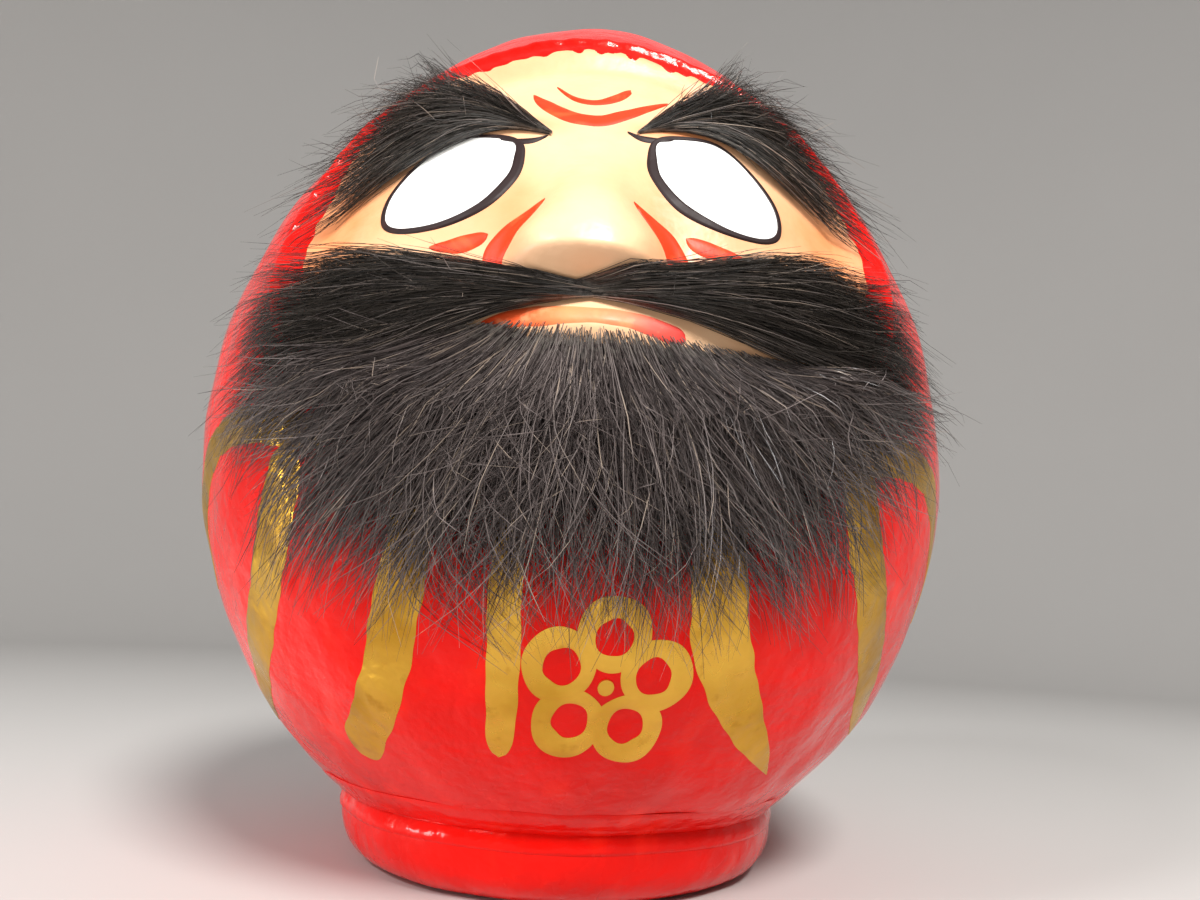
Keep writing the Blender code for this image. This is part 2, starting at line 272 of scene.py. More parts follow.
class Shade:
    """A material whose nodes are added one after another."""

    def __init__(self, name, colour, roughness, **constants):
        self.material = bpy.data.materials.new(name)
        self.material.use_nodes = True
        self.tree = self.material.node_tree
        self.shader = self.tree.nodes["Principled BSDF"]
        self.shader.inputs["Base Color"].default_value = (*colour, 1.0)
        self.shader.inputs["Roughness"].default_value = roughness
        for socket, value in constants.items():
            self.shader.inputs[socket.replace("_", " ")].default_value = value
        self.place = self.tree.nodes.new("ShaderNodeTexCoord").outputs["Object"]

    def noise(self, scale, detail=3.0, stretch=None, distortion=0.0):
        """Values around 0.5 that vary over lengths of about 1 / scale."""
        node = self.tree.nodes.new("ShaderNodeTexNoise")
        node.inputs["Scale"].default_value = scale
        node.inputs["Detail"].default_value = detail
        node.inputs["Distortion"].default_value = distortion
        place = self.place
        if stretch:
            mapping = self.tree.nodes.new("ShaderNodeMapping")
            mapping.inputs["Scale"].default_value = stretch
            self.tree.links.new(place, mapping.inputs["Vector"])
            place = mapping.outputs["Vector"]
        self.tree.links.new(place, node.inputs["Vector"])
        return node.outputs["Fac"]

    def attribute(self, label):
        node = self.tree.nodes.new("ShaderNodeAttribute")
        node.attribute_name = label
        return node.outputs["Fac"]

    def spread(self, value, low, high, to_low=0.0, to_high=1.0):
        """Map low..high of a value onto to_low..to_high, and clamp it."""
        node = self.tree.nodes.new("ShaderNodeMapRange")
        for socket, number in zip(("From Min", "From Max", "To Min", "To Max"),
                                  (low, high, to_low, to_high)):
            node.inputs[socket].default_value = number
        self.tree.links.new(value, node.inputs["Value"])
        return node.outputs["Result"]

    def times(self, first, second):
        node = self.tree.nodes.new("ShaderNodeMath")
        node.operation = "MULTIPLY"
        self.tree.links.new(first, node.inputs[0])
        self.tree.links.new(second, node.inputs[1])
        return node.outputs["Value"]

    def mix(self, share, first, second):
        """Blend two colours, each a colour or an output."""
        node = self.tree.nodes.new("ShaderNodeMix")
        node.data_type = "RGBA"
        self.tree.links.new(share, node.inputs["Factor"])
        for socket, colour in ((6, first), (7, second)):
            if isinstance(colour, tuple):
                node.inputs[socket].default_value = (*colour, 1.0)
            else:
                self.tree.links.new(colour, node.inputs[socket])
        return node.outputs[2]

    def ramp(self, value, stops):
        node = self.tree.nodes.new("ShaderNodeValToRGB")
        elements = node.color_ramp.elements
        while len(elements) < len(stops):
            elements.new(0.5)
        for element, (place, colour) in zip(elements, stops):
            element.position = place
            element.color = (*colour, 1.0)
        self.tree.links.new(value, node.inputs["Fac"])
        return node.outputs["Color"]

    def bump(self, *layers):
        """Relief from (height output, depth in metres) layers."""
        normal = None
        for height, depth in layers:
            node = self.tree.nodes.new("ShaderNodeBump")
            node.inputs["Distance"].default_value = depth
            self.tree.links.new(height, node.inputs["Height"])
            if normal:
                self.tree.links.new(normal, node.inputs["Normal"])
            normal = node.outputs["Normal"]
        self.tree.links.new(normal, self.shader.inputs["Normal"])

    def set(self, socket, value):
        self.tree.links.new(value, self.shader.inputs[socket])


def red_lacquer(name, colour):
    """Glossy red brushed over lumpy paper: deeper where it has run, thinner on the lumps."""
    shade = Shade(name, colour, 0.2, Specular_IOR_Level=0.28, Specular_Tint=(1.0, 0.10, 0.06, 1.0),
                  Coat_Weight=0.20, Coat_Roughness=0.06)
    deep = tuple(part * 0.82 for part in colour)
    bright = (colour[0] * 1.06, colour[1] * 2.4, colour[2] * 1.6)
    pooled = shade.spread(shade.noise(38, 4), 0.38, 0.66)
    thin = shade.spread(shade.noise(95, 3, stretch=(1, 1, 0.35)), 0.56, 0.74)
    shade.set("Base Color", shade.mix(thin, shade.mix(pooled, colour, deep), bright))
    shade.set("Roughness", shade.spread(shade.noise(70, 4), 0.3, 0.7, 0.12, 0.34))
    shade.bump((shade.noise(85, 3), 0.0011), (shade.noise(240, 4), 0.00030),
               (shade.noise(700, 3), 0.00005))
    shade.set("Coat Normal", shade.shader.inputs["Normal"].links[0].from_socket)
    return shade.material


def flesh_paint():
    """Satin skin-coloured paint, with an orange blush that is partly real paint and partly painted shade
    and red reflected light.
    """
    shade = Shade("flesh_paint", (0.80, 0.50, 0.29), 0.40, Specular_IOR_Level=0.35)
    patches = shade.spread(shade.noise(45, 4), 0.35, 0.7)
    plain = shade.mix(patches, (0.82, 0.525, 0.315), (0.74, 0.415, 0.220))
    grain = shade.spread(shade.noise(160, 4), 0.1, 0.75, 0.6, 1.0)
    # Orange blush that also paints shade and red reflected light, from the attribute that build_flesh sets
    rouge_and_shade = shade.times(shade.attribute("rouge_and_shade"), grain)
    shade.set("Base Color", shade.mix(rouge_and_shade, plain, (0.70, 0.235, 0.080)))
    shade.set("Roughness", shade.spread(shade.noise(90, 3), 0.3, 0.7, 0.32, 0.50))
    shade.bump((shade.noise(110, 3), 0.0005), (shade.noise(700, 2), 0.00005))
    return shade.material


def brushed_paint(name, colour, thin_colour, roughness, thin_share=0.5):
    """Paint from a brush, see-through in streaks where it ran out."""
    shade = Shade(name, colour, roughness, Specular_IOR_Level=0.22)
    streaks = shade.spread(shade.noise(140, 5, distortion=0.6), 1 - thin_share, 1 - thin_share + 0.28)
    shade.set("Base Color", shade.mix(streaks, colour, thin_colour))
    smear = shade.spread(shade.noise(220, 3), 0.3, 0.7, roughness - 0.06, roughness + 0.08)
    shade.set("Roughness", smear)
    shade.bump((shade.noise(500, 3), 0.00006))
    return shade.material


def lip_paint():
    """The upper lip's stroke: vermilion where the brush began, then thin, and crimson at its end."""
    shade = Shade("lip_paint", (0.76, 0.10, 0.02), 0.46, Specular_IOR_Level=0.25)
    wash = shade.ramp(shade.attribute("along"), (
        (0.0, (0.76, 0.055, 0.010)), (0.24, (0.80, 0.12, 0.03)), (0.42, (0.84, 0.25, 0.095)),
        (0.68, (0.82, 0.21, 0.10)), (0.82, (0.76, 0.10, 0.07)), (1.0, (0.66, 0.035, 0.030))))
    blots = shade.spread(shade.noise(260, 4), 0.52, 0.72)
    shade.set("Base Color", shade.mix(blots, wash, (0.84, 0.28, 0.12)))
    shade.set("Roughness", shade.spread(shade.noise(220, 3), 0.3, 0.7, 0.38, 0.58))
    shade.bump((shade.noise(400, 3), 0.00010))
    return shade.material


def gold_paint():
    """Metallic gold paint, laid on thickly enough to ripple."""
    shade = Shade("gold_paint", (0.74, 0.48, 0.14), 0.32, Metallic=1.0)
    rich = shade.spread(shade.noise(48, 4), 0.36, 0.66)
    worn = shade.spread(shade.noise(240, 4), 0.62, 0.85)
    colour = shade.mix(rich, (0.75, 0.44, 0.066), (0.50, 0.262, 0.022))
    shade.set("Base Color", shade.mix(worn, colour, (0.43, 0.205, 0.022)))
    shade.set("Roughness", shade.spread(shade.noise(110, 4), 0.3, 0.7, 0.20, 0.44))
    shade.bump((shade.noise(55, 3), 0.0022), (shade.noise(160, 3), 0.0006),
               (shade.noise(1100, 2), 0.00003))
    return shade.material


def animal_hair(name, dark, light):
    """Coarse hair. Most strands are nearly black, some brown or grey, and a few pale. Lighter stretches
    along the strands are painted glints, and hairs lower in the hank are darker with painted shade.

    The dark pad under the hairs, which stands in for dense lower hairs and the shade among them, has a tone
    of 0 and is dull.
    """
    shade = Shade(name, dark, 0.25)
    shade.set("Roughness", shade.spread(shade.attribute("tone"), 0.0, 0.03, 0.85, 0.25))
    tone = shade.ramp(shade.attribute("tone"), (
        (0.0, dark),
        (0.50, tuple((a + b) / 2 for a, b in zip(dark, light))),
        (0.80, light),
        (0.95, (0.24, 0.205, 0.195)),
        (1.0, (0.40, 0.32, 0.26)),
    ))
    glue = shade.times(shade.attribute("glue"), shade.spread(shade.noise(900, 2), 0.4, 0.6))
    shade.set("Base Color", shade.mix(glue, tone, (0.20, 0.18, 0.16)))
    return shade.material


RED = red_lacquer("red_lacquer", (0.80, 0.0055, 0.0030))
CLAY_RED = red_lacquer("lacquered_clay", (0.76, 0.0055, 0.0030))
FLESH = flesh_paint()
WHITE = brushed_paint("white_paint", (0.90, 0.90, 0.88), (0.84, 0.84, 0.81), 0.26, 0.35)
INK = brushed_paint("ink", (0.016, 0.006, 0.006), (0.065, 0.020, 0.015), 0.52, 0.40)
VERMILION = brushed_paint("vermilion_paint", (0.74, 0.034, 0.004), (0.82, 0.12, 0.030), 0.42, 0.46)
LIP_PAINT = lip_paint()
GOLD = gold_paint()
BLACK_HAIR = animal_hair("black_hair", (0.005, 0.0045, 0.004), (0.078, 0.066, 0.056))
BROWN_HAIR = animal_hair("brown_hair", (0.008, 0.0052, 0.0052), (0.200, 0.165, 0.158))


# The body and its base


def build_body():
    """The red skin from the neck to the crown, with its inner wall."""
    columns = 400
    azimuths = np.linspace(-180, 180, columns, endpoint=False)
    neck = math.degrees(math.asin((NECK_HEIGHT - BELLY_HEIGHT) / LOWER_DEPTH))
    outer_rows = np.concatenate([np.linspace(neck, 0, 62)[:-1], np.linspace(0, 89.2, 118)])
    inner_rows = np.linspace(89.2, neck, 30)
    azimuth, latitude = np.meshgrid(azimuths, outer_rows)
    height = latitude_height(latitude)
    covered = smooth_step((HOOD_RIM_END - 0.02 - face_place(azimuth, height)) / 0.04)
    outer = skin_points(azimuth, height, -0.0007 * covered)
    azimuth, latitude = np.meshgrid(azimuths, inner_rows)
    inner = skin_points(azimuth, latitude_height(latitude), -WALL, smoothness=1.0)
    points = np.concatenate([outer, inner]).reshape(-1, 3)
    rows = len(outer_rows) + len(inner_rows)
    quads = grid_quads(rows, columns, 0, wrap=True)
    crown_row = len(outer_rows) - 1
    keep = (quads.min(axis=1) // columns) != crown_row
    faces = quads[keep].tolist()
    first = np.arange(columns)
    last = first + (rows - 1) * columns
    faces += np.stack([first, last, np.roll(last, -1), np.roll(first, -1)], axis=-1)[:, ::-1].tolist()
    outer_crown = first + crown_row * columns
    inner_crown = outer_crown + columns
    faces.append(outer_crown.tolist())
    faces.append(inner_crown[::-1].tolist())
    add_piece("body_skin", points, faces, RED, "red_lacquer", "body_shell")


def build_hood_rim():
    """The paper rolled round the face. It has a finer mesh than the body, for its tight curve."""
    angles = np.linspace(0, 2 * math.pi, 560, endpoint=False)
    place, angle = np.meshgrid(np.linspace(HOOD_RIM_START, HOOD_RIM_END, 27), angles, indexing="ij")
    azimuth, height = face_point(angle, place)
    across = (place - HOOD_RIM_START) / (HOOD_RIM_END - HOOD_RIM_START)
    wrinkles = 0.00011 * np.sin(29 * angle + 3 * np.sin(5 * angle))
    wrinkles = wrinkles + 0.00007 * np.sin(67 * angle + 9 * across)
    lift = -0.00012 + (0.00030 + wrinkles) * np.sin(math.pi * across) ** 0.7 + 0.00014 * across
    outer = skin_points(azimuth, height, lift)
    inner = skin_points(azimuth, height, -0.0010)
    add_piece("hood_rim", *film_solid(outer, inner, wrap=True), RED, "red_lacquer")


def turned(profile, columns, rough):
    """Rings of points around the Z axis from (radius, height) pairs, made uneven along the way."""
    radius, height = (np.array(values)[:, None] for values in zip(*profile))
    angle = np.linspace(0, 2 * math.pi, columns, endpoint=False)[None, :]
    points = np.stack([radius * np.sin(angle), -radius * np.cos(angle), height + 0 * angle], axis=-1)
    lumps = unevenness(points.reshape(-1, 3)).reshape(len(profile), columns)
    outward = points * np.array([1, 1, 0])
    outward /= np.maximum(np.linalg.norm(outward, axis=-1), 1e-6)[..., None]
    return points + outward * (lumps * np.array(rough)[:, None])[..., None]


def build_base():
    """The lacquered clay dish that the body stands in."""
    lip_rise = BASE_LIP_HEIGHT - BASE_WIDEST_HEIGHT
    bulge = [
        (FOOT_RADIUS + (BASE_RADIUS - FOOT_RADIUS) * math.sin(angle) ** 0.85,
         BASE_WIDEST_HEIGHT * (1 - math.cos(angle)))
        for angle in np.linspace(0, math.pi / 2, 22)
    ]
    shoulder = [
        (BASE_LIP_RADIUS + (BASE_RADIUS - BASE_LIP_RADIUS) * math.cos(angle),
         BASE_WIDEST_HEIGHT + lip_rise * math.sin(angle))
        for angle in np.linspace(0, math.pi / 2, 14)[1:]
    ]
    inside = [(0.0500, 0.0167), (0.0455, 0.0160), (0.0420, 0.0120), (0.0385, 0.0097),
              (0.020, 0.0095), (0.0008, 0.0095)]
    under = [(0.0008, 0.0), (0.022, 0.0), (0.0440, 0.0)]
    profile = under + bulge + shoulder + inside
    rough = [0.0] * (len(under) + 1) + [0.9] * (len(bulge) + len(shoulder) - 1) + [0.3] * len(inside)
    columns = 360
    points = turned(profile, columns, rough)
    quads = grid_quads(len(profile), columns, 0, wrap=True).tolist()
    quads.append(list(range(columns))[::-1])
    last = (len(profile) - 1) * columns
    quads.append(list(range(last, last + columns)))
    add_piece("foot_dish", points, quads, CLAY_RED, "lacquered_clay", "clay_base")


def build_neck_band():
    """The paper band over the joint, under the same lacquer. Its edges are feathered out."""
    rows = []
    for share in np.linspace(0, 1, 19):
        edge = math.sin(math.pi * share) ** 0.35
        if share < 0.55:
            drop = share / 0.55
            radius = BASE_RADIUS + (BASE_LIP_RADIUS - BASE_RADIUS) * (0.1 + 0.8 * drop) ** 2
            height = BAND_FOOT_HEIGHT + BAND_SHOULDER * drop
        else:
            height = BASE_LIP_HEIGHT + BAND_SKIRT * (share - 0.55) / 0.45
            radius = float(skin_radius(np.array(max(height, NECK_HEIGHT))))
        rows.append((radius, height, 0.00012 + 0.00075 * edge))
    columns = 360
    rough = [0.95] * len(rows)
    outer = turned([(radius + lift, height) for radius, height, lift in rows], columns, rough)
    inner = turned([(radius - FILM_DEPTH, height) for radius, height, _ in rows], columns, rough)
    add_piece("neck_band_paper", *film_solid(outer, inner, wrap=True), RED, "red_lacquer", "neck_band")


def build_seam_strip():
    """The paper strip over the slit in the back, with torn, feathered edges."""
    foot = math.degrees(math.asin((NECK_HEIGHT + 0.004 - BELLY_HEIGHT) / LOWER_DEPTH))
    latitudes = np.linspace(foot, SEAM_TOP_LATITUDE, 150)
    across = np.linspace(-1, 1, 25)
    latitude, side = np.meshgrid(latitudes, across, indexing="ij")
    height = latitude_height(latitude)
    tear = 1 + 0.10 * np.sin(latitude * 0.9) + 0.05 * np.sin(latitude * 2.3 + 1)
    tear = tear + 0.03 * np.sin(latitude * 5.1)
    half_angle = np.degrees(SEAM_HALF_WIDTH * tear / skin_radius(height))
    end = np.clip((latitude - foot) / 3, 0, 1) * np.clip((SEAM_TOP_LATITUDE - latitude) / 3, 0, 1)
    feather = (np.clip((1 - np.abs(side)) / 0.35, 0, 1) * end) ** 0.6
    azimuth = 180 + side * half_angle
    outer = skin_points(azimuth, height, 0.00010 + 0.00060 * feather)
    inner = skin_points(azimuth, height, -0.00030)
    add_piece("back_seam_paper", *film_solid(outer, inner), RED, "red_lacquer", "back_seam_strip")


# The painted face

STROKE_STEP = 0.0006            # between points along a stroke
STROKE_COLUMN = 0.0007          # and across it
STROKE_WAVER = 0.05             # share of its width by which a stroke's edge wavers


def disc_grid(count):
    """A square grid of points pressed into the unit disc, as (distance, angle) of each."""
    values = np.linspace(-1, 1, count)
    first, second = np.meshgrid(values, values, indexing="ij")
    across = first * np.sqrt(1 - second * second / 2)
    up = second * np.sqrt(1 - first * first / 2)
    return np.hypot(across, up), np.arctan2(across, up)


def catmull_rom(corners, share):
    """A place between the second and the third of four corners, on a smooth curve through them."""
    a, b, c, d = corners
    return 0.5 * (2 * b + (c - a) * share + (2 * a - 5 * b + 4 * c - d) * share ** 2
                  + (3 * b - a - 3 * c + d) * share ** 3)


def smooth_loop(points, count=240):
    """A closed Catmull-Rom curve through the points."""
    points = np.array(points, float)
    place = np.arange(count) / count * len(points)
    index = place.astype(int)
    share = (place - index)[:, None]
    return catmull_rom([points[(index + shift) % len(points)] for shift in (-1, 0, 1, 2)], share)


def smooth_line(points):
    """A Catmull-Rom curve through (azimuth, height, half-width) points, and its length.

    It comes back as points evenly spaced on the skin.
    """
    points = np.array(points, float)
    padded = np.vstack([2 * points[0] - points[1], points, 2 * points[-1] - points[-2]])
    place = np.linspace(0, len(points) - 1, 400)
    index = np.minimum(place.astype(int), len(points) - 2)
    share = (place - index)[:, None]
    curve = catmull_rom([padded[index + shift] for shift in (0, 1, 2, 3)], share)
    across = np.radians(np.diff(curve[:, 0])) * skin_radius(curve[:-1, 1])
    travelled = np.concatenate([[0], np.cumsum(np.hypot(across, np.diff(curve[:, 1])))])
    length = travelled[-1]
    even = np.linspace(0, length, max(int(length / STROKE_STEP), 8))
    return np.stack([np.interp(even, travelled, curve[:, axis]) for axis in range(3)], axis=-1), length


def build_flesh():
    """The painted flesh: it fills the face's hollow and runs up onto the rim of the hood."""
    distance, angle = disc_grid(205)
    hand = 1.026 + 0.028 * np.cos(angle)
    for rise, waves, start in ((0.009, 5, 0.4), (0.005, 11, 2.0), (0.003, 31, 1.0), (0.003, 53, 0.0)):
        hand = hand + rise * np.sin(waves * angle + start)
    azimuth, height = face_point(angle, distance * hand)
    edge = np.clip((1 - distance) / 0.012, 0, 1) ** 0.5
    outer = skin_points(azimuth, height, FLESH_LIFT * (0.25 + 0.75 * edge))
    inner = skin_points(azimuth, height, -FILM_DEPTH)
    # Share, azimuth, height, half-angle and half-height of each patch of blush and painted shade, on both
    # sides of the face
    rouge_and_shade_patches = (
        (0.95, 14.0, 0.1706, 8.0, 0.0028),          # over the eyes
        (0.72, 19.0, 0.1500, 12.5, 0.0150),         # round them, with painted shade in their sockets
        (0.52, 9.5, 0.1420, 2.6, 0.0120),           # beside the nose: painted shade in the valleys by it
        (0.85, 36.0, 0.1450, 7.0, 0.0180),          # on the outer cheeks, with painted red reflected light
    )
    # Towards the outline, where the face meets the hood's rim: painted shade and red light reflected from
    # the hood
    rouge_and_shade = smooth_step((distance - 0.80) / 0.17) * 0.55
    for shape in rouge_and_shade_patches:
        rouge_and_shade = rouge_and_shade + swelling(azimuth, height, shape)
    rouge_and_shade = np.clip(rouge_and_shade, 0, 1)
    add_piece("flesh_paint", *film_solid(outer, inner), FLESH, "flesh_paint",
              attributes={"rouge_and_shade": np.concatenate([rouge_and_shade, rouge_and_shade])})


def patch(name, outline, lift, material, slot, count=61):
    """A filled patch of paint inside a closed outline of (azimuth, height) points."""
    loop = smooth_loop(outline)
    centre = loop.mean(axis=0)
    scale = np.array([1.65, 1000.0])        # millimetres per degree and per metre
    spokes = (loop - centre) * scale
    angles = np.arctan2(spokes[:, 0], spokes[:, 1])
    order = np.argsort(angles)
    distance, angle = disc_grid(count)
    outline_reach = np.interp(angle, angles[order], np.hypot(*spokes.T)[order], period=2 * math.pi)
    reach = distance * outline_reach
    azimuth = centre[0] + reach * np.sin(angle) / scale[0]
    height = centre[1] + reach * np.cos(angle) / scale[1]
    outer = skin_points(azimuth, height, lift)
    inner = skin_points(azimuth, height, lift - FILM_DEPTH)
    add_piece(name, *film_solid(outer, inner), material, slot)


def beside(azimuth, height, direction, aside):
    """(azimuth, height) at distances to the side of a line, given its direction at each of its points."""
    size = np.hypot(*direction)
    along_azimuth, along_height = (part / size for part in direction)
    turn = aside * (along_height / skin_radius(height))[:, None]
    return azimuth[:, None] - np.degrees(turn), height[:, None] + aside * along_azimuth[:, None]


def ribbon(line, length, lift, seed, ends=(1.0, 1.0)):
    """Outer and inner grids of a brush stroke along a line of (azimuth, height, half-width).

    Its ends are rounded over their roundness times its half-width.
    """
    rng = np.random.default_rng(seed)
    azimuth, height, half_width = line.T
    travelled = np.linspace(0, length, len(line))
    direction = np.gradient(np.radians(azimuth)) * skin_radius(height), np.gradient(height)
    shape = np.ones(len(line))
    for distance, roundness in ((travelled, ends[0]), (length - travelled, ends[1])):
        reach = np.clip(distance / (roundness * half_width.max()), 0, 1)
        shape = shape * np.sqrt(1 - (1 - reach) ** 2)
    half_width = half_width * np.maximum(shape, 0.03)
    columns = max(int(2 * half_width.max() / STROKE_COLUMN), 3) + 1
    across = np.linspace(-1, 1, columns)[None, :]
    wobble = np.zeros((2, len(line)))
    for wave in (0.0070, 0.0130, 0.0240):
        for side in (0, 1):
            turn = travelled * 2 * math.pi / wave + rng.uniform(*PHASES)
            wobble[side] += np.sin(turn) * STROKE_WAVER / 2
    stretch = np.where(across < 0, 1 + wobble[0][:, None], 1 + wobble[1][:, None])
    places = beside(azimuth, height, direction, across * stretch * half_width[:, None])
    thin = np.clip((1 - np.abs(across)) / 0.12, 0, 1) ** 0.5 * 0.75 + 0.25
    return skin_points(*places, lift * thin), skin_points(*places, lift * 0.25 - FILM_DEPTH)


def stroke(name, points, lift, material, slot, seed, **shape):
    """One brush stroke through a few (azimuth, height, half-width) points."""
    line, length = smooth_line(points)
    outer, inner = ribbon(line, length, lift, seed, **shape)
    along = np.repeat(np.linspace(0, 1, len(line))[:, None], outer.shape[1], axis=1)
    add_piece(name, *film_solid(outer, inner), material, slot,
              attributes={"along": np.concatenate([along, along])})


def ring(name, loop, half_widths, lift, material, slot, seed):
    """A closed outline of (azimuth, height) points, with the brush's half-width at each."""
    rng = np.random.default_rng(seed)
    azimuth, height = loop.T
    ahead, behind = np.roll(loop, -1, axis=0), np.roll(loop, 1, axis=0)
    direction = np.radians(ahead[:, 0] - behind[:, 0]) * skin_radius(height), ahead[:, 1] - behind[:, 1]
    across = np.linspace(-1, 1, 7)[None, :]
    place = np.arange(len(loop)) / len(loop) * 2 * math.pi
    wobble = 1 + sum(STROKE_WAVER * np.sin(place * waves + rng.uniform(*PHASES)) for waves in (2, 3, 5))
    places = beside(azimuth, height, direction, across * (half_widths * wobble)[:, None])
    thin = np.clip((1 - np.abs(across)) / 0.3, 0, 1) ** 0.5 * 0.75 + 0.25
    outer = skin_points(*places, lift * thin).transpose(1, 0, 2)
    inner = skin_points(*places, lift * 0.25 - FILM_DEPTH).transpose(1, 0, 2)
    add_piece(name, *film_solid(outer, inner, wrap=True), material, slot)


# The right eye, from its inner top corner over the top and round; the left one is its mirror image
EYE = (
    (9.8, 0.1610), (10.8, 0.1662), (15.6, 0.1678), (21.2, 0.1672), (26.2, 0.1620), (28.8, 0.1538),
    (27.9, 0.1458), (24.4, 0.1420), (18.6, 0.1426), (13.2, 0.1470), (10.2, 0.1545),
)
# The dash from its inner corner towards the nose, with the brush's half-width
EYE_CORNER = (
    (13.4, 0.1668, 0.00040), (10.6, 0.1664, 0.00085), (8.4, 0.1668, 0.00085), (6.2, 0.1684, 0.00025),
)
EYE_TILT = 0.0012               # the right eye sits higher than the left by twice this
EYE_SHIFT = -0.8


def sided(points, side, rise=0.0, shift=0.0):
    """Points for the doll's right (side 1) or left (side -1) as it is seen."""
    return [(point[0] * side + shift, point[1] + rise * side, *point[2:]) for point in points]


def build_eyes():
    for side, word in ((1, "right"), (-1, "left")):
        eye = sided(EYE, side, EYE_TILT, EYE_SHIFT)
        patch(f"eye_white_{word}", eye, EYE_LIFT, WHITE, "white_paint")
        loop = smooth_loop(eye, 200)
        inner = smooth_step((22 - np.abs(loop[:, 0])) / 11)
        upper = smooth_step((loop[:, 1] - 0.158) / 0.010)
        half_widths = 0.00040 + 0.00066 * inner * (1 - 0.60 * upper) + 0.00034 * (1 - upper)
        ring(f"eye_outline_{word}", loop, half_widths, OUTLINE_LIFT, INK, "ink", 11 + side)
        corner = sided(EYE_CORNER, side, EYE_TILT, EYE_SHIFT)
        stroke(f"eye_corner_{word}", corner, OUTLINE_LIFT, INK, "ink", 21 + side)


def build_face_strokes():
    """Vermilion strokes: frown, sides of the nose, under the eyes and the upper lip."""
    def paint(name, points, seed):
        stroke(name, points, STROKE_LIFT, VERMILION, "vermilion_paint", seed)

    paint("frown_upper", (
        (-7.6, 0.1868, 0.00025), (-3.4, 0.1817, 0.00095), (0.6, 0.1806, 0.00125), (4.2, 0.1832, 0.00155),
        (7.0, 0.1872, 0.00085)), 31)
    paint("frown_lower", (
        (-11.6, 0.1832, 0.00040), (-8.6, 0.1788, 0.00190), (-4.2, 0.1744, 0.00215), (1.2, 0.1734, 0.00215),
        (6.2, 0.1766, 0.00185), (10.4, 0.1806, 0.00110), (14.0, 0.1838, 0.00030)), 32)
    nostril = (
        (5.6, 0.1462, 0.00045), (7.9, 0.1428, 0.00160), (10.1, 0.1385, 0.00235), (11.4, 0.1335, 0.00250),
        (11.0, 0.1285, 0.0016))
    under_eye = (
        (12.6, 0.1398, 0.00110), (14.2, 0.1384, 0.00185), (16.6, 0.1372, 0.00200), (20.0, 0.1368, 0.00070))
    for side, word in ((1, "right"), (-1, "left")):
        paint(f"nostril_{word}", sided(nostril, side, 0.0004), 33 + side)
        paint(f"under_eye_{word}", sided(under_eye, side, 0.0009), 36 + side)
    lip = (
        (-11.8, 0.1184, 0.00060), (-8.8, 0.1190, 0.00190), (-5.4, 0.1196, 0.00230), (0.0, 0.1204, 0.00200),
        (4.6, 0.1202, 0.00200), (8.4, 0.1188, 0.00215), (12.0, 0.1170, 0.00190))
    stroke("upper_lip", lip, STROKE_LIFT, LIP_PAINT, "vermilion_paint", 39)


# Gold brush strokes: each through (azimuth, height, half-width) points


def build_gold():
    """The robe's collar, in three strokes on each side, three pleats and the ornament."""
    def gild(name, points, seed, **shape):
        stroke(name, points, GOLD_LIFT, GOLD, "gold_paint", seed, **shape)

    arch = ((30.0, 0.0955, 0.0032), (38.0, 0.0985, 0.0041), (47.0, 0.1002, 0.0042), (56.0, 0.0978, 0.0040))
    inner_leg = (
        (36.0, 0.0960, 0.0048), (37.6, 0.0880, 0.0056), (40.8, 0.0765, 0.0059), (45.2, 0.0650, 0.0055),
        (51.5, 0.0545, 0.0047), (58.5, 0.0445, 0.0034), (65.5, 0.0360, 0.0008))
    outer_leg = (
        (53.5, 0.0990, 0.0040), (60.5, 0.0935, 0.0042), (65.5, 0.0845, 0.0034), (68.8, 0.0740, 0.0022),
        (70.5, 0.0650, 0.0006))
    for side, word in ((1, "right"), (-1, "left")):
        gild(f"gold_arch_{word}", sided(arch, side), 41 + side)
        gild(f"gold_inner_leg_{word}", sided(inner_leg, side, 0.0014), 44 + side)
        gild(f"gold_outer_leg_{word}", sided(outer_leg, side), 47 + side)
    gild("gold_pleat_left", (
        (-16.8, 0.0930, 0.0044), (-18.0, 0.0800, 0.0047), (-20.3, 0.0675, 0.0051), (-23.7, 0.0535, 0.0052),
        (-28.6, 0.0415, 0.0047), (-36.0, 0.0315, 0.0042)), 51, ends=(1.0, 0.8))
    gild("gold_pleat_middle", (
        (-6.4, 0.0860, 0.0028), (-7.0, 0.0725, 0.0031), (-7.5, 0.0600, 0.0033), (-8.1, 0.0460, 0.0031),
        (-9.3, 0.0345, 0.0025)), 52, ends=(1.0, 1.2))
    gild("gold_pleat_right", (
        (17.2, 0.0850, 0.0050), (17.8, 0.0700, 0.0060), (19.8, 0.0587, 0.0061), (24.0, 0.0485, 0.0050),
        (30.5, 0.0395, 0.0032), (39.0, 0.0308, 0.0005)), 53)
    build_blossom(5.4, 0.0500)


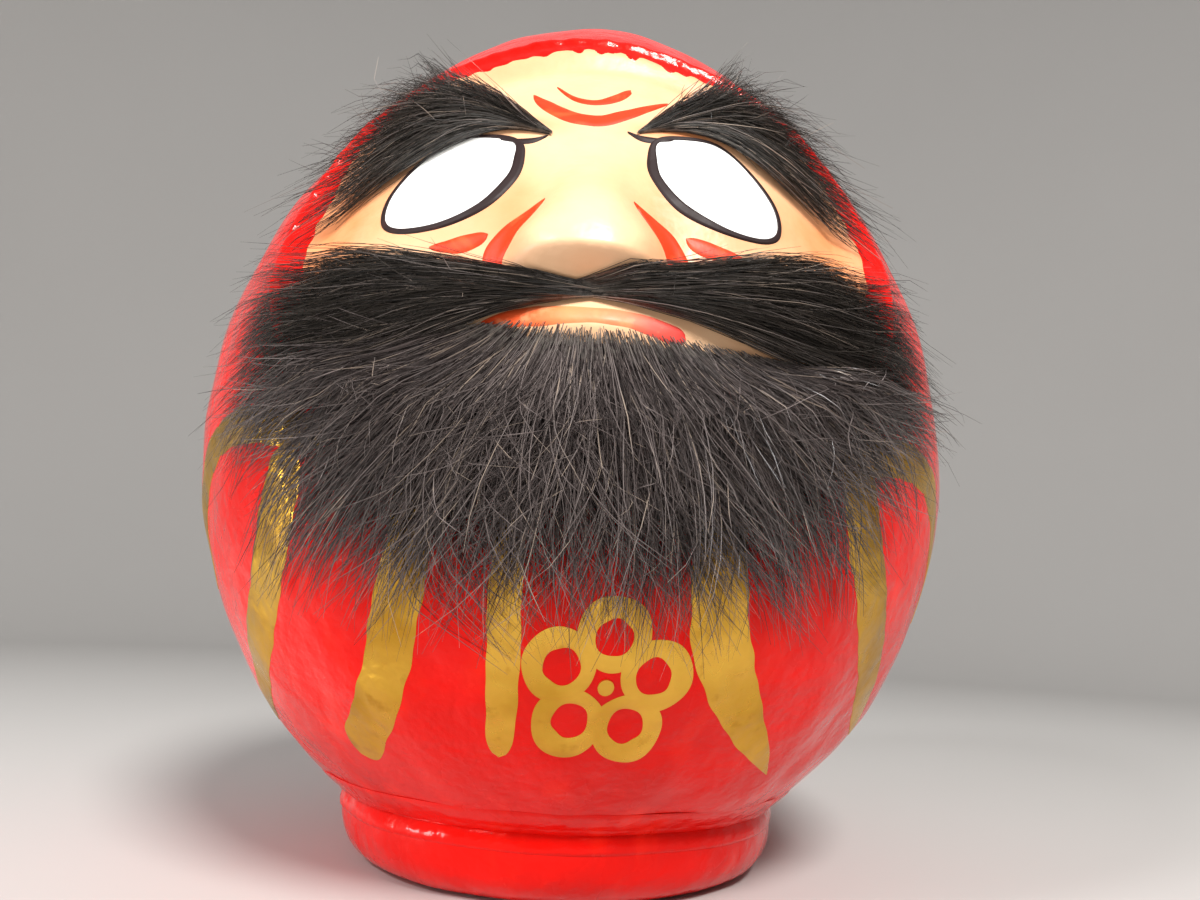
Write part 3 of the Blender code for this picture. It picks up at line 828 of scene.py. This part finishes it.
def build_blossom(azimuth, height):
    """A plum blossom of five brushed petals around a dot."""
    petal_distance, petal_radius, dot_radius = 0.0098, 0.0054, 0.0016
    angles = np.linspace(0, 2 * math.pi, 90, endpoint=False)
    for petal in range(5):
        turn = math.radians(72 * petal + 4)
        across = petal_distance * math.sin(turn) + petal_radius * np.sin(angles)
        up = petal_distance * math.cos(turn) + petal_radius * np.cos(angles)
        loop = np.stack([azimuth + np.degrees(across / skin_radius(height + up)), height + up], axis=-1)
        half_widths = 0.00180 + 0.00035 * np.cos(angles - turn)
        lift = GOLD_LIFT + 0.00004 * petal      # each petal lies over the one before
        ring(f"gold_petal_{petal + 1}", loop, half_widths, lift, GOLD, "gold_paint", 61 + petal)
    dot = [(azimuth + math.degrees(dot_radius * math.sin(turn) / 0.087),
            height + dot_radius * math.cos(turn))
           for turn in np.linspace(0, 2 * math.pi, 8, endpoint=False)]
    patch("gold_blossom_dot", dot, GOLD_LIFT + 0.00022, GOLD, "gold_paint", 15)


# Hair. Each fan is a row of edges, and each edge is its root, the point that bends it and its tip.
# A place in a fan is a share of the way from its roots to its tips, and a width counted in edges.

STRAND_POINTS = 8
UNDER_NOSE_ANGLE = 14.0
PAD_FULLNESS = 0.45             # of the dark under-hair pad, partly painted shade, as a share of the whole hank's


class HairStyle(NamedTuple):
    """How the hairs of a hank grow. Lengths are shares of the fan's, and widths are in edges."""
    material: bpy.types.Material
    slot: str
    fullness: float             # how far the thickest part stands off the skin
    swell: float                # how quickly that falls off towards the roots and tips
    sag: float                  # how far the first edge hangs down under the nose
    pad_reach: float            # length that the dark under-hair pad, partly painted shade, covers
    clump: int                  # hairs in a clump
    clump_length: float         # spread of the clumps' lengths
    drift: float                # spread of the widths that clumps lean aside by
    bend: float                 # and of those that they curve aside by
    own_drift: float            # the same for single hairs
    own_bend: float
    wave: float                 # how far single hairs wave
    gather: float               # how far hairs draw together in their clump's tip
    stay: float                 # width that hairs may go past the fan's sides
    root_spread: float          # spread of a clump's roots
    start: float                # length along the fan by which the last hairs have grown out
    ragged: float               # length by which some roots lie before the fan's
    length: float               # mean length
    length_spread: float
    longest: float
    fly: float                  # how far tips stand off the other hairs, in metres
    stray: float                # share of stray hairs
    thin: float                 # radius of the thinnest hairs
    thick: float                # and of the thickest
    grey: float                 # share of grey hairs
    glue: float                 # length that is matted with glue


def fan_places(edges, share, width, sag):
    """(azimuth, height) at a share of the way along a fan and a width across it.

    The first edge hangs lower by the sag where it passes under the nose.
    """
    edges = np.array(edges, float)
    number = np.arange(len(edges))
    inside = np.clip(width, 0, len(edges) - 1)
    weights = ((1 - share) ** 2, 2 * share * (1 - share), share * share)
    places = []
    for axis in (0, 1):
        value = 0.0
        for weight, corner in zip(weights, range(3)):
            column = edges[:, corner, axis]
            at_width = np.interp(inside, number, column)
            low, high = column[1] - column[0], column[-1] - column[-2]
            beyond = np.where(width < 0, low * width, high * np.maximum(width - number[-1], 0))
            value = value + weight * (at_width + beyond)
        places.append(value)
    azimuth, height = places
    under_nose = np.exp(-(azimuth / UNDER_NOSE_ANGLE) ** 2)
    return azimuth, height - sag * under_nose * np.clip(1 - width, 0, 1)


def grow(edges, width_range, count, seed, style):
    """Centrelines, radii, tones and glue of the hairs that start in a range of widths of a fan."""
    rng = np.random.default_rng(seed)
    each = (count, 1)
    t = np.linspace(0, 1, STRAND_POINTS)
    low, high = width_range

    clumps = max(int(count / style.clump), 4)
    clump_place = low + (high - low) * (np.arange(clumps) + rng.random(clumps)) / clumps
    clump_drift = rng.normal(0, style.drift, clumps)
    clump_bend = rng.normal(0, style.bend, clumps)
    clump_reach = rng.normal(0, style.clump_length, clumps)
    clump_fly = rng.normal(0, 0.35, clumps)

    # Where each hair starts and ends, and in which layer of the hank it lies
    member = rng.integers(0, clumps, each)
    root = clump_place[member] + rng.normal(0, style.root_spread, each)
    root = np.clip(root, low - 0.06, high + 0.06)
    layer = rng.random(each)
    start = style.start * rng.random(each) ** 1.5 - style.ragged * rng.random(each)
    stray = rng.random(each) < style.stray
    reach = rng.normal(style.length, style.length_spread, each) + clump_reach[member]
    reach = np.where(stray, reach + 0.12, reach)
    reach = np.clip(reach, 0.28, style.longest)
    share = start + (reach - start) * t

    # Its course across the fan: its own, drawn towards the middle of its clump and kept in the fan
    drift = clump_drift[member] + rng.normal(0, style.own_drift, each) * np.where(stray, 1.7, 1.0)
    bend = clump_bend[member] + rng.normal(0, style.own_bend, each) * np.where(stray, 1.3, 1.0)
    wave = rng.normal(0, style.wave, each)
    phase = rng.uniform(*PHASES, each)
    width = root + drift * t + bend * t * t
    width = width + wave * np.sin(phase + 5.0 * t) * t
    gather = style.gather * rng.random(each) ** 0.6
    centre = clump_place[member] + clump_drift[member] * t + clump_bend[member] * t * t
    width = width + (centre - width) * gather * t * t
    beyond = np.maximum(width - high, 0) - np.maximum(low - width, 0)
    width = np.clip(width, low, high) + style.stay * np.tanh(beyond / style.stay)
    azimuth, height = fan_places(edges, share, width, style.sag)

    # Its height over the skin
    body = np.sin(math.pi * np.clip(share, 0.03, 0.97)) ** style.swell
    fly = np.abs(rng.normal(0, style.fly, each) * (1 + clump_fly[member])) * np.where(stray, 1.5, 1.0)
    fly = np.minimum(fly, 2.4 * style.fly)
    lift = 0.0004 + style.fullness * layer ** 0.8 * body + fly * (0.25 + layer) * t ** 1.8
    ripple = rng.uniform(0, 0.0008, each) * np.sin(rng.uniform(*PHASES, each) + 7.0 * t)
    lift = np.maximum(lift + ripple * t, 0.0003)
    points = skin_points(azimuth, height, lift, smoothness=1.0)
    radius = rng.uniform(style.thin, style.thick, each) * (1 - 0.75 * t ** 3.5)

    # Its tone, from 0 for black to 1 for the palest, with painted glints streaked along it
    # Hairs lying lower in the hank are darker: painted shade from the hairs over them
    tone = np.clip(rng.beta(1.6, 2.6, each) + 0.12 * (layer - 0.4), 0, 0.93)
    tone = np.where(rng.random(each) < style.grey, rng.uniform(0.92, 0.97, each), tone)
    tone = np.where(stray & (rng.random(each) < 0.6), 1.0, tone)
    # Lighter and darker stretches along each hair: painted glints
    painted_glint = rng.uniform(0, 0.30, each)
    tone = tone + painted_glint * np.sin(rng.uniform(*PHASES, each) + rng.uniform(4, 14, each) * t)
    glue = np.clip(1 - share / style.glue, 0, 1) * (0.4 + 0.6 * layer)
    return points, radius, np.clip(tone, 0, 1), glue


def tubes(points, radius):
    """Three-sided tapered tubes along the strands, closed at both ends."""
    count, steps = points.shape[:2]
    along = np.gradient(points, axis=1)
    along /= np.linalg.norm(along, axis=-1)[..., None]
    outward = points * np.array([1, 1, 0])
    outward /= np.linalg.norm(outward, axis=-1)[..., None]
    side = np.cross(along, outward)
    side /= np.maximum(np.linalg.norm(side, axis=-1), 1e-9)[..., None]
    up = np.cross(side, along)
    corners = []
    for corner in range(3):
        angle = math.pi / 2 + corner * 2 * math.pi / 3
        corners.append(points + radius[..., None] * (math.cos(angle) * side + math.sin(angle) * up))
    vertices = np.stack(corners, axis=2).reshape(-1, 3)
    start = (np.arange(count) * steps * 3)[:, None, None]
    ring_start = start + (np.arange(steps - 1) * 3)[None, :, None]
    corner = np.arange(3)[None, None, :]
    after = (corner + 1) % 3
    next_start = ring_start + 3
    quads = np.stack([ring_start + after, ring_start + corner,
                      next_start + corner, next_start + after], axis=-1)
    first = start[:, 0, :] + np.array([[0, 1, 2]])
    last = start[:, 0, :] + (steps - 1) * 3 + np.array([[2, 1, 0]])
    return vertices, quads.reshape(-1, 4).tolist() + first.tolist() + last.tolist()


def pad(edges, width_range, style):
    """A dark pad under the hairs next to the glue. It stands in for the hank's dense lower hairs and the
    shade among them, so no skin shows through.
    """
    low, high = width_range
    reach = style.pad_reach
    share, width = np.meshgrid(np.linspace(0.0, reach, 22), np.linspace(low, high, 16), indexing="ij")
    azimuth, height = fan_places(edges, share, width, style.sag)
    across = np.clip(np.sin(math.pi * (width - low) / (high - low)), 0, 1) ** 0.4
    along = np.clip(np.sin(math.pi * share / reach), 0, 1) ** 0.8
    lift = 0.00030 + style.fullness * PAD_FULLNESS * (across * along)
    outer = skin_points(azimuth, height, lift, smoothness=1.0)
    inner = skin_points(azimuth, height, -0.0002, smoothness=1.0)
    return film_solid(outer, inner)


BEARD_STYLE = HairStyle(
    BROWN_HAIR, "brown_hair", fullness=0.0056, swell=0.6, sag=0.0, pad_reach=0.30,
    clump=15, clump_length=0.17, drift=0.21, bend=0.21, own_drift=0.11, own_bend=0.12, wave=0.035,
    gather=0.90, stay=0.90, root_spread=0.05, start=0.45, ragged=0.05,
    length=0.62, length_spread=0.12, longest=1.06, fly=0.0032, stray=0.004,
    thin=0.000060, thick=0.000135, grey=0.08, glue=0.03,
)
MOUSTACHE_STYLE = BEARD_STYLE._replace(
    material=BLACK_HAIR, slot="black_hair", fullness=0.0040, swell=1.2, sag=0.0015, pad_reach=0.60,
    clump=9, clump_length=0.07, drift=0.10, bend=0.16, own_drift=0.12, own_bend=0.22, wave=0.05,
    gather=0.60, stay=0.24, root_spread=0.12, ragged=0.02, length=0.78, length_spread=0.18,
    fly=0.0028, thick=0.000105, grey=0.07, glue=0.16,
)
BROW_STYLE = MOUSTACHE_STYLE._replace(
    swell=1.3, sag=0.0, pad_reach=0.55, bend=0.18, start=0.55, stay=0.22, longest=1.08,
    fly=0.0036, grey=0.09, glue=0.10,
)

BROWS = {
    "right": (
        ((7.4, 0.1702), (18.0, 0.1842), (41.0, 0.1952)),
        ((7.4, 0.1694), (24.0, 0.1768), (45.5, 0.1520)),
    ),
    "left": (
        ((-6.8, 0.1684), (-20.0, 0.1815), (-44.0, 0.1890)),
        ((-6.8, 0.1676), (-22.0, 0.1728), (-44.0, 0.1485)),
    ),
}
MOUSTACHES = {
    "right": (
        ((-4.5, 0.1275), (20.0, 0.1360), (49.0, 0.1356)),
        ((-1.5, 0.1254), (20.0, 0.1220), (50.5, 0.1085)),
    ),
    "left": (
        ((5.5, 0.1275), (-22.0, 0.1320), (-49.0, 0.1306)),
        ((2.7, 0.1254), (-16.0, 0.1206), (-47.0, 0.0985)),
    ),
}
BEARD = (
    ((-15.0, 0.1175), (-31.0, 0.1130), (-52.0, 0.1015)),
    ((-10.0, 0.1160), (-25.0, 0.0930), (-41.0, 0.0680)),
    ((-4.5, 0.1148), (-11.0, 0.0840), (-19.0, 0.0580)),
    ((4.5, 0.1146), (10.0, 0.0840), (16.0, 0.0580)),
    ((13.0, 0.1152), (23.5, 0.0940), (36.5, 0.0685)),
    ((25.0, 0.1155), (38.0, 0.1120), (54.0, 0.0975)),
)

# Hairs in each hank
BROW_HAIRS = 2300
MOUSTACHE_HAIRS = 2700
BEARD_HAIRS = {"far_left": 1100, "left": 1700, "centre": 2000, "right": 1800, "far_right": 1200}


def build_hair(name, node, edges, width_range, count, seed, style):
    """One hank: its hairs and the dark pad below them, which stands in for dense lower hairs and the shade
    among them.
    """
    points, radius, tone, glue = grow(edges, width_range, count, seed, style)
    strands, faces = tubes(points, radius)
    under, under_faces = pad(edges, width_range, style)
    faces += (under_faces + len(strands)).tolist()
    # The pad takes tone 0, the darkest: painted shade under the hairs
    tones = np.concatenate([np.repeat(tone.ravel(), 3), np.zeros(len(under))])
    glues = np.concatenate([np.repeat(glue.ravel(), 3), np.zeros(len(under))])
    add_piece(name, np.concatenate([strands, under]), faces, style.material, style.slot, node,
              attributes={"tone": tones, "glue": glues})


def build_all_hair():
    for number, word in enumerate(("right", "left")):
        build_hair(f"brow_hair_{word}", f"eyebrow_{word}", BROWS[word], (0, 1), BROW_HAIRS, 71 + number,
                   BROW_STYLE)
        build_hair(f"moustache_hair_{word}", f"moustache_{word}", MOUSTACHES[word], (0, 1), MOUSTACHE_HAIRS,
                   73 + number, MOUSTACHE_STYLE)
    for number, (word, count) in enumerate(BEARD_HAIRS.items()):
        build_hair(f"beard_hair_{word}", f"beard_{word}", BEARD, (number, number + 1), count, 81 + number,
                   BEARD_STYLE)


# The studio

FLOOR_RADIUS = 1.0
FLOOR_CURVE = 0.6
BACKDROP_TOP = 1.5


def build_stage():
    """A pale floor that turns up into a round wall, open above."""
    profile = [(0.0005, 0.0), (FLOOR_RADIUS / 2, 0.0), (FLOOR_RADIUS, 0.0)]
    profile += [(FLOOR_RADIUS + FLOOR_CURVE * math.sin(angle), FLOOR_CURVE * (1 - math.cos(angle)))
                for angle in np.linspace(0, math.pi / 2, 17)[1:]]
    profile += [(FLOOR_RADIUS + FLOOR_CURVE, height) for height in (1.0, BACKDROP_TOP)]
    columns = 96
    radius, height = (np.array(values)[:, None] for values in zip(*profile))
    angle = np.linspace(0, 2 * math.pi, columns, endpoint=False)[None, :]
    level = height + 0 * angle - 0.0001         # just under the doll
    points = np.stack([radius * np.sin(angle), -radius * np.cos(angle), level], axis=-1)
    faces = grid_quads(len(profile), columns, wrap=True)
    mesh = bpy.data.meshes.new("floor")
    mesh.from_pydata(points.reshape(-1, 3).tolist(), [], faces.tolist())
    mesh.shade_smooth()
    shade = Shade("pale_floor", (0.49, 0.48, 0.47), 0.8)
    shade.set("Base Color", shade.mix(shade.noise(3, 2), (0.49, 0.48, 0.47), (0.47, 0.46, 0.45)))
    mesh.materials.append(shade.material)
    floor = bpy.data.objects.new("floor", mesh)
    bpy.context.scene.collection.objects.link(floor)


def add_light(name, location, target, size, power, colour=(1.0, 1.0, 1.0)):
    """A round soft light of some watts, aimed at a point of the doll."""
    light = bpy.data.lights.new(name, "AREA")
    light.shape = "DISK"
    light.size = size
    light.energy = power
    light.color = colour
    lamp = bpy.data.objects.new(name, light)
    lamp.location = location
    lamp.rotation_mode = "QUATERNION"
    lamp.rotation_quaternion = (Vector(target) - Vector(location)).to_track_quat("-Z", "Y")
    bpy.context.scene.collection.objects.link(lamp)


def build_lights():
    """A dim white room, a key light above the camera and two smaller ones for the gloss on the left."""
    world = bpy.data.worlds.new("studio")
    world.use_nodes = True
    background = world.node_tree.nodes["Background"]
    background.inputs["Color"].default_value = (1.0, 0.98, 0.96, 1.0)
    background.inputs["Strength"].default_value = 0.45
    bpy.context.scene.world = world
    add_light("key", (0.25, -0.80, 0.95), (0, 0, 0.12), 0.34, 21.5, (1.0, 0.98, 0.95))
    add_light("upper_left", (-0.60, -0.62, 0.70), (0, 0, 0.14), 0.16, 5)
    add_light("low_left", (-0.62, -0.28, 0.06), (-0.03, -0.05, 0.03), 0.14, 1.8)


CAMERA_PLACE = (0, -0.2699, 0.0639)
CAMERA_LENS = 28.0
CAMERA_TURNS = (9.86, 1.48, 2.83)       # pitch, yaw and roll


def build_camera():
    """Close in front of the doll and low, looking slightly up."""
    pitch, yaw, roll = (math.radians(value) for value in CAMERA_TURNS)
    camera = bpy.data.objects.new("camera", bpy.data.cameras.new("camera"))
    camera.data.lens = CAMERA_LENS
    camera.data.sensor_width = 36.0
    camera.data.clip_start = 0.02
    camera.matrix_world = (
        Matrix.Translation(CAMERA_PLACE)
        @ Matrix.Rotation(-yaw, 4, "Z")
        @ Matrix.Rotation(math.pi / 2 + pitch, 4, "X")
        @ Matrix.Rotation(roll, 4, "Z")
    )
    bpy.context.scene.collection.objects.link(camera)
    bpy.context.scene.camera = camera
    bpy.context.scene.view_settings.view_transform = "Standard"


build_body()
build_hood_rim()
build_base()
build_neck_band()
build_seam_strip()
build_flesh()
build_eyes()
build_face_strokes()
build_gold()
build_all_hair()
build_stage()
build_lights()
build_camera()
